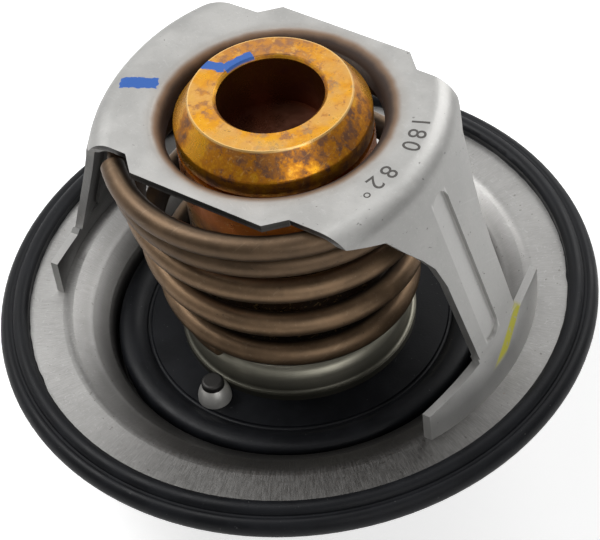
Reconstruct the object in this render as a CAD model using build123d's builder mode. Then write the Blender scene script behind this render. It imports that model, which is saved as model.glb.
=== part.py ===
from build123d import *
from math import cos, radians, sin, sqrt, tan
import os

# Engine thermostat, millimetres. The axis of the valve is Z, the middle plane of the rim gasket is z = 0,
# the engine side is +Z and the frame's two legs stand along X.

os.makedirs("parts", exist_ok=True)

# ---------------------------------------------------------------- driving dimensions
seat_roll_width = 2.35
dish_slope_width = 2.5
flange_flat_width = 4.4
gasket_lip_width = 1.7
gasket_wall = 1.6
gasket_lip_height = 1.35
gasket_bead_height = 1.9
gasket_groove_depth = 0.75

flange_thickness = 1.2
flange_ridge_drop = 1.3
seat_roll_drop = 1.9
seat_ledge_width = 2.55

plate_top_z = 27.65
frame_thickness = 0.9
collar_gap = 1.1
collar_height = 2.8
collar_round = 1.7
plate_half_width = 14.25
plate_wide_half_length = 8.0
notch_half_width = 12.25
notch_half_length = 10.0
wing_half_width = 11.95
wing_tip_drop = 1.55
bend_radius = 2.8
leg_corner_x = 18.2
leg_lean = 17.8
leg_form_x = -7.0
leg_form_y = -1.2
leg_left = -2.85
leg_right = 5.7
gusset_left = [(0.3, 12.3), (0.9, 9.6), (2.0, 7.7), (3.6, 5.5), (5.1, 3.2)]
gusset_right = [(0.4, 14.2), (0.8, 10.7), (1.6, 7.6), (2.9, 5.0), (3.7, 3.2)]
foot_inset = 3.35
foot_half_width = 11.45
foot_left_height = 3.8
foot_right_height = 4.6
foot_notch_height = 4.0
foot_tuck = 0.25
rib_offset = 0.4
rib_width = 3.0
rib_depth = 0.4
rib_bottom_z = 5.6
rib_top_z = 24.2

wire_diameter = 2.6
spring_leg_inset = 1.5
spring_element_gap = 0.3
spring_lean_x = -0.15
spring_lean_y = -0.6
spring_taper_power = 1.4
spring_start_angle = -134
spring_turns = 5.1
spring_fall = [(0, 0), (0.24, 0.012), (0.62, 0.07), (1.24, 0.145), (2.24, 0.357), (3.24, 0.628), (4.24, 0.89)]
spring_points_per_turn = 12

element_radius = 10.4
element_top_z = 30.25
element_cone_width = 1.85
element_cone_height = 2.75
element_bore_radius = 5.65
element_bore_depth = 6.3
element_groove_z = 25.25
element_groove_width = 0.7
element_groove_depth = 0.55
element_floor_thickness = 2.2
element_wall = 1.4
crimp_thickness = 1.0
crimp_reach = 1.6

guide_flange_height = 4.2
guide_neck_radius = 5.5
guide_nose_radius = 4.2
guide_nose_length = 5.0
plug_top_radius = 5.0
plug_depth = 4.0
diaphragm_thickness = 1.1
washer_thickness = 0.8

piston_radius = 2.0
piston_clearance = 0.05
bridge_floor_z = -18.0
bridge_thickness = 1.5
bridge_foot_inset = 0.8
bridge_bend_inset = 0.9
bridge_knee_inset = 1.5
bridge_floor_half_length = 6.0
bridge_width = 9.0
bridge_socket_depth = 1.6

seat_hat_top_z = 0.5
seat_hat_thickness = 0.8
seat_hat_margin = 0.3
seat_hat_flare = 0.9
fit_clearance = 0.05

disc_thickness = 1.0
seal_top_z = -3.2
seal_clearance = 0.35
seal_rim_width = 1.3
seal_lip_width = 2.4
seal_tuck = 2.2
seal_skin = 0.4
seal_bead_height = 0.75
seal_bead_width = 3.5
seal_groove_depth = 0.35
ring_thickness = 0.9
ring_reach = 1.7
ring_gap_angle = 60.0

jiggle_angle = -95.0
jiggle_cone_radius = 1.85
jiggle_cone_height = 2.0
jiggle_cone_arc = 3.0
jiggle_side_gap = 0.1
jiggle_tip_radius = 1.25
jiggle_tip_height = 0.8
jiggle_stem_radius = 0.75
jiggle_hole_clearance = 0.35
jiggle_bulb_radius = 1.5
jiggle_travel = 1.0

# ---------------------------------------------------------------- derived places
plate_bottom_z = plate_top_z - frame_thickness
wire_radius = wire_diameter / 2
spring_bottom_radius = element_radius + spring_element_gap + wire_radius
seat_hat_radius = spring_bottom_radius + seat_hat_margin
seat_hat_rim_radius = seat_hat_radius + seat_hat_flare
jiggle_circle_radius = seat_hat_rim_radius + jiggle_side_gap + jiggle_cone_radius
seal_groove_radius = jiggle_circle_radius + jiggle_cone_radius + jiggle_side_gap
seal_radius = seal_groove_radius + seal_bead_width
seat_wall_radius = seal_radius + seal_clearance
flange_ridge_radius = seat_wall_radius + seat_roll_width
flange_flat_inner_radius = flange_ridge_radius + dish_slope_width
gasket_lip_radius = flange_flat_inner_radius + flange_flat_width
flange_rim_radius = gasket_lip_radius + gasket_lip_width
gasket_radius = flange_rim_radius + gasket_wall
seat_opening_radius = seat_wall_radius - seat_ledge_width
disc_radius = seal_radius - seal_rim_width
seal_lip_inner_radius = seal_radius - seal_lip_width
collar_bore_radius = element_radius + collar_gap
foot_radius = gasket_lip_radius - foot_inset
spring_top_radius = leg_corner_x - spring_leg_inset
seal_inner_radius = seat_hat_rim_radius - seal_tuck
ring_radius = guide_neck_radius + ring_reach
flange_top_z = flange_thickness / 2
flange_bottom_z = -flange_thickness / 2
disc_top_z = seal_top_z - seal_skin
disc_bottom_z = disc_top_z - disc_thickness
seat_ledge_z = disc_bottom_z - seal_skin
element_bottom_z = seat_hat_top_z
chamber_radius = element_radius - element_wall
crimp_inner_radius = chamber_radius - crimp_reach
element_face_radius = element_radius - element_cone_width
guide_flange_bottom_z = element_bottom_z + crimp_thickness
guide_flange_top_z = guide_flange_bottom_z + guide_flange_height
diaphragm_top_z = guide_flange_top_z + diaphragm_thickness
bore_floor_z = element_top_z - element_bore_depth
wax_top_z = bore_floor_z - element_floor_thickness
guide_bore_radius = piston_radius + piston_clearance
plug_bottom_z = guide_flange_top_z - plug_depth
piston_top_z = plug_bottom_z - washer_thickness
ring_bottom_z = disc_bottom_z - ring_thickness
neck_end_z = ring_bottom_z - ring_thickness
nose_end_z = neck_end_z - guide_nose_length
socket_floor_z = bridge_floor_z - bridge_socket_depth
jiggle_place = Location((jiggle_circle_radius * cos(radians(jiggle_angle)),
                         jiggle_circle_radius * sin(radians(jiggle_angle)), 0))
jiggle_hole_radius = jiggle_stem_radius + jiggle_hole_clearance


def sheet_section(points, radii, thickness, plane=Plane.XZ):
    """Section of a bent sheet: the filleted path is its show side and the metal lies to its right."""
    show = [Vector(x, z) for x, z in points]
    heads = [(end - start).normalized() for start, end in zip(show, show[1:])]
    rights = [Vector(head.Y, -head.X) for head in heads]
    back = [show[0] + rights[0] * thickness]
    back_radii = []
    for corner, before, after, radius in zip(show[1:-1], rights, rights[1:], radii):
        back.append(corner + (before + after) * (thickness / (1 + before.dot(after))))
        turns_right = before.cross(after).Z < 0
        back_radii.append(radius - thickness if turns_right else radius + thickness)
    back.append(show[-1] + rights[-1] * thickness)
    with BuildSketch(plane) as section:
        with BuildLine():
            FilletPolyline(*show, radius=radii)
            FilletPolyline(*back, radius=back_radii)
            Line(show[0], back[0])
            Line(show[-1], back[-1])
        make_face()
    return section.sketch


def turned_section(points, rounds=()):
    """Half section of a piece turned about Z, from its (r, z) corners and the corners that are rounded."""
    with BuildSketch(Plane.XZ) as section:
        with BuildLine():
            Polyline(*points, close=True)
        make_face()
        for corner, radius in rounds:
            fillet(section.vertices().sort_by_distance((*corner, 0))[0], radius)
    return section.sketch


# ---------------------------------------------------------------- rim gasket
with BuildPart() as flange_gasket:
    with BuildSketch(Plane.XZ):
        with BuildLine():
            groove_radius = flange_rim_radius + 0.35
            bead_middle = (gasket_lip_radius + groove_radius) / 2
            lip = Line((gasket_lip_radius, flange_top_z), (gasket_lip_radius, gasket_lip_height))
            bead = ThreePointArc(lip @ 1, (bead_middle, gasket_bead_height),
                                 (groove_radius - 0.25, gasket_bead_height - gasket_groove_depth))
            groove = Line(bead @ 1, (groove_radius, gasket_bead_height - gasket_groove_depth))
            Spline(groove @ 1, (gasket_radius, 0), tangents=[(0.8, 0.5), (0, -1)])
            mirror(about=Plane.XZ)
            Polyline((gasket_lip_radius, flange_top_z), (flange_rim_radius, flange_top_z),
                     (flange_rim_radius, flange_bottom_z), (gasket_lip_radius, flange_bottom_z))
        make_face()
    revolve(axis=Axis.Z)
flange_gasket.part.label = "flange_gasket"
export_step(flange_gasket.part, "parts/flange_gasket.step")

# ---------------------------------------------------------------- flange with its valve seat
ridge_z = flange_top_z - flange_ridge_drop
flange_path = [
    (seat_opening_radius, seat_ledge_z),
    (seat_wall_radius, seat_ledge_z),
    (seat_wall_radius + 0.15, ridge_z - seat_roll_drop),
    (flange_ridge_radius, ridge_z),
    (flange_flat_inner_radius, flange_top_z),
    (flange_rim_radius, flange_top_z),
]
with BuildPart() as flange_plate:
    add(sheet_section(flange_path, [0.5, 1.5, 1.6, 2.4], flange_thickness))
    revolve(axis=Axis.Z)
flange_plate.part.label = "flange_plate"
export_step(flange_plate.part, "parts/flange_plate.step")

# ---------------------------------------------------------------- frame: one stamping with two legs
lean_run = tan(radians(leg_lean))
foot_top_z = flange_top_z + foot_right_height
leg_form_axis = Axis((leg_form_x, leg_form_y, 0), (0, 0, 1))
slab_edge_x = collar_bore_radius + collar_round


def leg_x(z):
    """Outer face of the leg on its middle line at this height."""
    return leg_corner_x + (plate_top_z - z) * lean_run


leg_outline = [(leg_left, foot_top_z), (leg_right, foot_top_z)]
leg_outline += [(leg_right + out, plate_top_z - drop) for out, drop in gusset_right]
leg_outline += [
    (wing_half_width, plate_top_z - wing_tip_drop),
    (notch_half_width, plate_top_z),
    (-notch_half_width, plate_top_z),
    (-wing_half_width, plate_top_z - wing_tip_drop),
]
leg_outline += [(leg_left - out, plate_top_z - drop) for out, drop in reversed(gusset_left)]
foot_outline = [
    (-foot_half_width, flange_top_z),
    (foot_half_width, flange_top_z),
    (foot_half_width, foot_top_z),
    (leg_right + frame_thickness / 2, flange_top_z + foot_notch_height),
    (leg_right, foot_top_z),
    (leg_left, foot_top_z),
    (leg_left, flange_top_z + foot_notch_height),
    (-foot_half_width, flange_top_z + foot_left_height),
]
slab_outline = [
    (0, plate_half_width),
    (plate_wide_half_length, plate_half_width),
    (notch_half_length, notch_half_width),
    (notch_half_length, 0),
]


def leg_sheet(depth, thickness):
    """Bent sheet of a leg and the plate beside it, this deep under its show side and this thick."""
    drop = depth / cos(radians(leg_lean))
    path = [
        (slab_edge_x - collar_round, plate_top_z - depth),
        (leg_corner_x - drop + depth * lean_run, plate_top_z - depth),
        (leg_x(flange_top_z) - drop, flange_top_z),
    ]
    with BuildPart() as sheet:
        add(sheet_section(path, [bend_radius - depth], thickness))
        revolve(axis=leg_form_axis)
    return sheet.part


def foot_slice(z, middle_x):
    """Slice of the foot at this height: a band that reaches out to here and whose ends stay in place."""
    end_x = sqrt(foot_radius ** 2 - foot_half_width ** 2)
    with BuildSketch(Plane.XY.offset(z)) as band:
        with BuildLine():
            outer, inner = [
                ThreePointArc((end_x - depth, -foot_half_width), (middle_x - depth, 0),
                              (end_x - depth, foot_half_width))
                for depth in (0, frame_thickness)]
            Line(outer @ 0, inner @ 0)
            Line(outer @ 1, inner @ 1)
        make_face()
    return band.sketch


def rib_skin(depth, width):
    """Skin of the leg as thick as the rib is deep, cut to a round-ended slot."""
    with BuildPart() as skin:
        add(leg_sheet(depth, rib_depth))
        with BuildSketch(Plane.YZ):
            with Locations((rib_offset, (rib_top_z + rib_bottom_z) / 2)):
                SlotOverall(rib_top_z - rib_bottom_z + width - rib_width, width, rotation=90)
        extrude(amount=foot_radius, mode=Mode.INTERSECT)
    return skin.part


with BuildPart() as leg:
    add(leg_sheet(0, frame_thickness))
    with BuildSketch(Plane.YZ):
        with BuildLine():
            Polyline(*leg_outline, close=True)
        make_face()
    extrude(amount=foot_radius + 1, mode=Mode.INTERSECT)
    add(rib_skin(frame_thickness, rib_width + 2 * rib_depth))
    add(rib_skin(0, rib_width), mode=Mode.SUBTRACT)

with BuildPart() as foot:
    add(foot_slice(flange_top_z, foot_radius))
    add(foot_slice(foot_top_z, leg_x(foot_top_z) - foot_tuck))
    loft(ruled=True)
    with BuildSketch(Plane.YZ):
        with BuildLine():
            Polyline(*foot_outline, close=True)
        make_face()
    extrude(amount=foot_radius + 1, mode=Mode.INTERSECT)

with BuildPart() as frame:
    with BuildSketch(Plane.XY.offset(plate_bottom_z)):
        with BuildLine():
            Polyline(*slab_outline)
            mirror(about=Plane.YZ)
            mirror(about=Plane.XZ)
        make_face()
    extrude(amount=frame_thickness)
    with PolarLocations(0, 2):
        add(leg.part)
        add(foot.part)
    with BuildSketch(Plane.XY.offset(plate_bottom_z)):
        Circle(slab_edge_x)
    extrude(amount=frame_thickness, mode=Mode.SUBTRACT)
    collar_path = [
        (collar_bore_radius, plate_top_z - collar_height),
        (collar_bore_radius, plate_top_z),
        (slab_edge_x + fit_clearance, plate_top_z),
    ]
    add(sheet_section(collar_path, [collar_round], frame_thickness))
    revolve(axis=Axis.Z)
frame.part.label = "frame"
export_step(frame.part, "parts/frame.step")

# ---------------------------------------------------------------- bridge under the flange
bridge_half = [
    (gasket_lip_radius - bridge_foot_inset, flange_bottom_z),
    (flange_flat_inner_radius + bridge_bend_inset, flange_bottom_z),
    (flange_flat_inner_radius - bridge_knee_inset, bridge_floor_z / 2),
    (bridge_floor_half_length, bridge_floor_z),
]
bridge_path = [(-y, z) for y, z in bridge_half] + list(reversed(bridge_half))
with BuildPart() as bridge:
    add(sheet_section(bridge_path, [2.0, 4.0, 4.0, 4.0, 4.0, 2.0], bridge_thickness,
                      Plane.YZ.offset(-bridge_width / 2)))
    extrude(amount=bridge_width, dir=(1, 0, 0))
    with BuildSketch(Plane.XY.offset(bridge_floor_z - bridge_thickness)):
        Circle(guide_bore_radius + bridge_thickness)
    extrude(amount=-bridge_socket_depth)
    with BuildSketch(Plane.XY.offset(bridge_floor_z)):
        Circle(guide_bore_radius)
    extrude(amount=-bridge_socket_depth, mode=Mode.SUBTRACT)
bridge.part.label = "bridge"
export_step(bridge.part, "parts/bridge.step")

# ---------------------------------------------------------------- conical spring
spring_top_z = plate_bottom_z - wire_radius
spring_bottom_z = seat_hat_top_z + wire_radius
spring_stations = spring_fall + [(spring_turns, 1)]


def spring_point(turn):
    """Point of the wire's centre line, this many turns from its upper end."""
    left = 1 - turn / spring_turns
    taper = (turn / spring_turns) ** spring_taper_power
    radius = spring_top_radius + (spring_bottom_radius - spring_top_radius) * taper
    fall = 0
    for (start, high), (end, low) in zip(spring_stations, spring_stations[1:]):
        if start < turn:
            fall = high + (low - high) * (min(turn, end) - start) / (end - start)
    angle = radians(spring_start_angle + 360 * turn)
    return (radius * cos(angle) + spring_lean_x * left,
            radius * sin(angle) + spring_lean_y * left,
            spring_top_z + fall * (spring_bottom_z - spring_top_z))


spring_steps = round(spring_turns * spring_points_per_turn)
with BuildPart() as main_spring:
    with BuildLine() as wire:
        Spline(*[spring_point(spring_turns * step / spring_steps) for step in range(spring_steps + 1)])
    with BuildSketch(Plane(origin=wire.line @ 0, z_dir=wire.line % 0)):
        Circle(wire_radius)
    sweep(path=wire.line)
main_spring.part.label = "main_spring"
export_step(main_spring.part, "parts/main_spring.step")

# ---------------------------------------------------------------- wax element
shoulder_z = element_top_z - element_cone_height
groove_top_z = element_groove_z + element_groove_width / 2
groove_bottom_z = element_groove_z - element_groove_width / 2
lip_chamfer = 0.35
with BuildPart() as element_body:
    add(turned_section([
        (0, wax_top_z),
        (chamber_radius, wax_top_z),
        (chamber_radius, guide_flange_bottom_z),
        (crimp_inner_radius, guide_flange_bottom_z),
        (crimp_inner_radius, element_bottom_z),
        (element_radius, element_bottom_z),
        (element_radius, groove_bottom_z),
        (element_radius - element_groove_depth, groove_bottom_z),
        (element_radius - element_groove_depth, groove_top_z),
        (element_radius, groove_top_z),
        (element_radius, shoulder_z),
        (element_face_radius, element_top_z),
        (element_bore_radius + lip_chamfer, element_top_z),
        (element_bore_radius, element_top_z - lip_chamfer),
        (element_bore_radius, bore_floor_z),
        (0, bore_floor_z),
    ], rounds=[((element_radius, shoulder_z), 0.4), ((element_radius, element_bottom_z), 0.8)]))
    revolve(axis=Axis.Z)
element_body.part.label = "element_body"
export_step(element_body.part, "parts/element_body.step")

with BuildPart() as wax_charge:
    with BuildSketch(Plane.XY.offset(diaphragm_top_z)):
        Circle(chamber_radius)
    extrude(amount=wax_top_z - diaphragm_top_z)
wax_charge.part.label = "wax_charge"
export_step(wax_charge.part, "parts/wax_charge.step")

with BuildPart() as diaphragm:
    with BuildSketch(Plane.XY.offset(guide_flange_top_z)):
        Circle(chamber_radius)
    extrude(amount=diaphragm_thickness)
diaphragm.part.label = "diaphragm"
export_step(diaphragm.part, "parts/diaphragm.step")

ring_groove_radius = guide_neck_radius - 0.6
with BuildPart() as guide:
    add(turned_section([
        (plug_top_radius, guide_flange_top_z),
        (chamber_radius, guide_flange_top_z),
        (chamber_radius, guide_flange_bottom_z),
        (guide_neck_radius, guide_flange_bottom_z),
        (guide_neck_radius, disc_bottom_z),
        (ring_groove_radius, disc_bottom_z),
        (ring_groove_radius, ring_bottom_z),
        (guide_neck_radius, ring_bottom_z),
        (guide_neck_radius, neck_end_z),
        (guide_nose_radius, neck_end_z),
        (guide_nose_radius, nose_end_z),
        (guide_bore_radius, nose_end_z),
        (guide_bore_radius, plug_bottom_z),
    ], rounds=[((guide_nose_radius, nose_end_z), 0.8)]))
    revolve(axis=Axis.Z)
guide.part.label = "guide"
export_step(guide.part, "parts/guide.step")

with BuildPart() as rubber_plug:
    add(turned_section([
        (0, guide_flange_top_z),
        (plug_top_radius, guide_flange_top_z),
        (guide_bore_radius, plug_bottom_z),
        (0, plug_bottom_z),
    ]))
    revolve(axis=Axis.Z)
rubber_plug.part.label = "rubber_plug"
export_step(rubber_plug.part, "parts/rubber_plug.step")

with BuildPart() as backing_washer:
    with BuildSketch(Plane.XY.offset(piston_top_z)):
        Circle(piston_radius)
    extrude(amount=washer_thickness)
backing_washer.part.label = "backing_washer"
export_step(backing_washer.part, "parts/backing_washer.step")

with BuildPart() as piston:
    with BuildSketch(Plane.XY.offset(socket_floor_z)):
        Circle(piston_radius)
    extrude(amount=piston_top_z - socket_floor_z)
    chamfer(piston.edges().filter_by(GeomType.CIRCLE), 0.3)
piston.part.label = "piston"
export_step(piston.part, "parts/piston.step")

# ---------------------------------------------------------------- valve disc, seal and spring cup
with BuildPart() as valve_disc:
    with BuildSketch(Plane.XY.offset(disc_bottom_z)):
        Circle(disc_radius)
        Circle(guide_neck_radius + fit_clearance, mode=Mode.SUBTRACT)
        with Locations(jiggle_place.position):
            Circle(jiggle_hole_radius, mode=Mode.SUBTRACT)
    extrude(amount=disc_thickness)
valve_disc.part.label = "valve_disc"
export_step(valve_disc.part, "parts/valve_disc.step")

bead_inner_radius = seal_groove_radius + 0.6
bead_crown_radius = (bead_inner_radius + seal_radius) / 2 + 0.3
with BuildPart() as valve_seal:
    with BuildSketch(Plane.XZ):
        with BuildLine():
            skin = Line((seal_inner_radius, seal_top_z), (seal_groove_radius - 0.3, seal_top_z))
            groove = ThreePointArc(skin @ 1, (seal_groove_radius, seal_top_z - seal_groove_depth),
                                   (seal_groove_radius + 0.3, seal_top_z))
            Spline(groove @ 1, (bead_crown_radius, seal_top_z + seal_bead_height),
                   (seal_radius, disc_top_z), tangents=[(1, 1), (0, -1)])
            Polyline((seal_radius, disc_top_z), (seal_radius, disc_bottom_z),
                     (seal_radius - seal_skin, seat_ledge_z), (seal_lip_inner_radius, seat_ledge_z),
                     (seal_lip_inner_radius, disc_bottom_z), (disc_radius, disc_bottom_z),
                     (disc_radius, disc_top_z), (seal_inner_radius, disc_top_z),
                     (seal_inner_radius, seal_top_z))
        make_face()
    revolve(axis=Axis.Z)
    with BuildSketch(Plane.XY.offset(disc_top_z)):
        with Locations(jiggle_place.position):
            Circle(jiggle_hole_radius)
    extrude(amount=seal_skin, mode=Mode.SUBTRACT)
valve_seal.part.label = "valve_seal"
export_step(valve_seal.part, "parts/valve_seal.step")

hat_rim_z = seal_top_z + seat_hat_thickness
hat_path = [
    (guide_neck_radius + fit_clearance, seat_hat_top_z),
    (seat_hat_radius, seat_hat_top_z),
    (seat_hat_rim_radius - 0.5, hat_rim_z),
    (seat_hat_rim_radius, hat_rim_z),
]
with BuildPart() as spring_seat:
    add(sheet_section(hat_path, [1.4, 0.4], seat_hat_thickness))
    revolve(axis=Axis.Z)
spring_seat.part.label = "spring_seat"
export_step(spring_seat.part, "parts/spring_seat.step")

with BuildPart() as retaining_ring:
    with BuildSketch(Plane.XY.offset(ring_bottom_z)):
        Circle(ring_radius)
        Circle(ring_groove_radius + fit_clearance, mode=Mode.SUBTRACT)
        with BuildLine():
            Polyline((0, 0), (2 * ring_radius, 2 * ring_radius * tan(radians(ring_gap_angle / 2))),
                     (2 * ring_radius, -2 * ring_radius * tan(radians(ring_gap_angle / 2))), close=True)
        make_face(mode=Mode.SUBTRACT)
    extrude(amount=ring_thickness)
retaining_ring.part.label = "retaining_ring"
export_step(retaining_ring.part, "parts/retaining_ring.step")

# ---------------------------------------------------------------- jiggle pin
cone_top_z = seal_top_z + jiggle_cone_height
bulb_top_z = disc_bottom_z - jiggle_travel
with BuildPart() as jiggle_weight:
    with BuildSketch(Plane.XZ):
        with BuildLine():
            Polyline((jiggle_tip_radius, cone_top_z), (jiggle_stem_radius, cone_top_z),
                     (jiggle_stem_radius, seal_top_z), (jiggle_cone_radius, seal_top_z))
            RadiusArc((jiggle_cone_radius, seal_top_z), (jiggle_tip_radius, cone_top_z),
                      -jiggle_cone_arc)
        make_face()
    revolve(axis=Axis.Z)
jiggle_weight.part = jiggle_place * jiggle_weight.part
jiggle_weight.part.label = "jiggle_weight"
export_step(jiggle_weight.part, "parts/jiggle_weight.step")

with BuildPart() as jiggle_pin:
    add(turned_section([
        (0, cone_top_z + jiggle_tip_height),
        (jiggle_tip_radius, cone_top_z + jiggle_tip_height),
        (jiggle_tip_radius, cone_top_z),
        (jiggle_stem_radius, cone_top_z),
        (jiggle_stem_radius, bulb_top_z),
        (jiggle_bulb_radius, bulb_top_z),
        (jiggle_bulb_radius, bulb_top_z - jiggle_bulb_radius),
        (0, bulb_top_z - jiggle_bulb_radius),
    ], rounds=[((jiggle_tip_radius, cone_top_z + jiggle_tip_height), 0.35),
               ((jiggle_bulb_radius, bulb_top_z - jiggle_bulb_radius), 0.9)]))
    revolve(axis=Axis.Z)
jiggle_pin.part = jiggle_place * jiggle_pin.part
jiggle_pin.part.label = "jiggle_pin"
export_step(jiggle_pin.part, "parts/jiggle_pin.step")
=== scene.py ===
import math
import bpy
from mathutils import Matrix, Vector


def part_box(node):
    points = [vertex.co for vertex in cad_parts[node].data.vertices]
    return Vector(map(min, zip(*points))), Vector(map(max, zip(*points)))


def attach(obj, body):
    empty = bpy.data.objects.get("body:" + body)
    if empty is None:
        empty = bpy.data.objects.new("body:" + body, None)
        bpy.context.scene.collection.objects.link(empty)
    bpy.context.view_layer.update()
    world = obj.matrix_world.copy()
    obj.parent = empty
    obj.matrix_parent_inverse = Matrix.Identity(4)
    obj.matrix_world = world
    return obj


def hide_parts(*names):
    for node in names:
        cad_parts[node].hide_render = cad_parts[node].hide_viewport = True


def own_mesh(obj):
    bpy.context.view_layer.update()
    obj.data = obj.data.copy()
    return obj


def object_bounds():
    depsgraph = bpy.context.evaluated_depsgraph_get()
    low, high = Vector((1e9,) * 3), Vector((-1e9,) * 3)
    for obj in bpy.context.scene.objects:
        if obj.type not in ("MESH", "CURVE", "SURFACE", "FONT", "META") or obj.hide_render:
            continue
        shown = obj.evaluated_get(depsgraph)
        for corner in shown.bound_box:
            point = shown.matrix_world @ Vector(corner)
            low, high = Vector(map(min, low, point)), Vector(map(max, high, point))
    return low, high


bl_info = {
    "name": "Engine thermostat looks",
    "version": (1, 0, 0),
    "blender": (4, 5, 0),
    "location": "View3D > Sidebar > Thermostat",
    "description": "Dresses the packed engine thermostat and sets its studio",
    "category": "Object",
}

import bpy
import bmesh
import numpy as np
from bpy.props import FloatProperty, FloatVectorProperty, PointerProperty
from mathutils import Matrix, Vector

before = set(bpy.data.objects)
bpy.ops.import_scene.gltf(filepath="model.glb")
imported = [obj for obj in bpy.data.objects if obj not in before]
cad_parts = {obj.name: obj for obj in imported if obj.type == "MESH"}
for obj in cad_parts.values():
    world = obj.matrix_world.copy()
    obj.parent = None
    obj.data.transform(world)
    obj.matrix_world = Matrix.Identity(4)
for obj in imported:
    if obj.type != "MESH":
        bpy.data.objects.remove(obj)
cad_box = [list(corner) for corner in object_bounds()]
MM = 0.001

# sizes and levels of the solids in millimetres, by which finishes and new pieces are placed
FRAME_SHEET = 0.9
PLATE_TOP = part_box("frame")[1].z / MM
PLATE_UNDERSIDE = PLATE_TOP - FRAME_SHEET
ELEMENT_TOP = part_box("element_body")[1].z / MM
FLANGE_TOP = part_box("flange_plate")[1].z / MM
CUP_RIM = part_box("spring_seat")[1].z / MM
GASKET_LIP_RADIUS = 30.2


# ---------------------------------------------------------------- settings

class ThermostatSizes(bpy.types.PropertyGroup):
    """Sizes that a user would change, in metres."""

    wire_diameter: FloatProperty(name="Wire diameter", description="Thickness of the spring wire",
                                 default=2.6 * MM, unit="LENGTH", precision=5)
    coil_top_radius: FloatProperty(name="Top coil radius", description="Wire centre radius under the plate",
                                   default=16.7 * MM, unit="LENGTH", precision=5)
    coil_bottom_radius: FloatProperty(name="Bottom coil radius", description="Wire centre radius on the cup",
                                      default=12.0 * MM, unit="LENGTH", precision=5)
    coil_turns: FloatProperty(name="Turns", description="Turns of the spring from end to end", default=5.1)
    coil_start: FloatProperty(name="Start angle", description="Where the wire's upper end is cut",
                              default=math.radians(-134), subtype="ANGLE")
    far_leg_turn: FloatProperty(name="Far leg turn", description="Turn of the far leg about the valve's axis",
                                default=math.radians(4.2), subtype="ANGLE")
    far_leg_reach: FloatProperty(name="Far leg reach", description="How much further out the far leg stands",
                                 default=0.45 * MM, unit="LENGTH", precision=6)
    flash_width: FloatProperty(name="Flash width", description="Reach of the moulding flash on the steel",
                               default=0.3 * MM, unit="LENGTH", precision=6)
    digit_size: FloatProperty(name="Digit size", description="Size of the stamped digits",
                              default=2.75 * MM, unit="LENGTH", precision=5)


class ThermostatColours(bpy.types.PropertyGroup):
    """Base colours of the finishes."""

    plate_steel: FloatVectorProperty(name="Frame steel", description="Matte stamped steel of the frame",
                                     subtype="COLOR", default=(0.46, 0.455, 0.44))
    rim_steel: FloatVectorProperty(name="Flange steel", description="Brushed steel of the flange",
                                   subtype="COLOR", default=(0.33, 0.325, 0.315))
    cup_steel: FloatVectorProperty(name="Spring cup steel",
                                   description="Olive-grey satin of the spring's cup",
                                   subtype="COLOR", default=(0.46, 0.44, 0.35))
    brass: FloatVectorProperty(name="Brass", description="Golden brass of the wax element",
                               subtype="COLOR", default=(0.86, 0.40, 0.012))
    brass_tarnish: FloatVectorProperty(name="Brass tarnish", description="Purple-brown bloom on the brass",
                                       subtype="COLOR", default=(0.12, 0.065, 0.055))
    spring_bronze: FloatVectorProperty(name="Spring", description="Bronze-brown heat colour of the wire",
                                       subtype="COLOR", default=(0.235, 0.15, 0.085))
    rubber: FloatVectorProperty(name="Rubber", description="Blue-black moulded rubber",
                                subtype="COLOR", default=(0.0065, 0.007, 0.0085))
    jiggle_zinc: FloatVectorProperty(name="Jiggle weight", description="Matte zinc of the jiggle weight",
                                     subtype="COLOR", default=(0.62, 0.61, 0.58))
    jiggle_tip: FloatVectorProperty(name="Jiggle pin", description="Dark steel of the jiggle pin",
                                    subtype="COLOR", default=(0.05, 0.048, 0.046))
    stamp_shadow: FloatVectorProperty(name="Stamped digits", description="Shadow in the stamped digits",
                                      subtype="COLOR", default=(0.10, 0.095, 0.09))
    blue_mark: FloatVectorProperty(name="Blue paint", description="Inspection mark in blue paint",
                                   subtype="COLOR", default=(0.03, 0.13, 0.48))
    yellow_mark: FloatVectorProperty(name="Yellow paint", description="Inspection mark in yellow paint",
                                     subtype="COLOR", default=(0.62, 0.58, 0.06))


# ---------------------------------------------------------------- shader building

def shade(colour, share):
    """A colour made darker or lighter by a share, up to white."""
    return [min(1.0, part * share) for part in colour]


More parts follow.
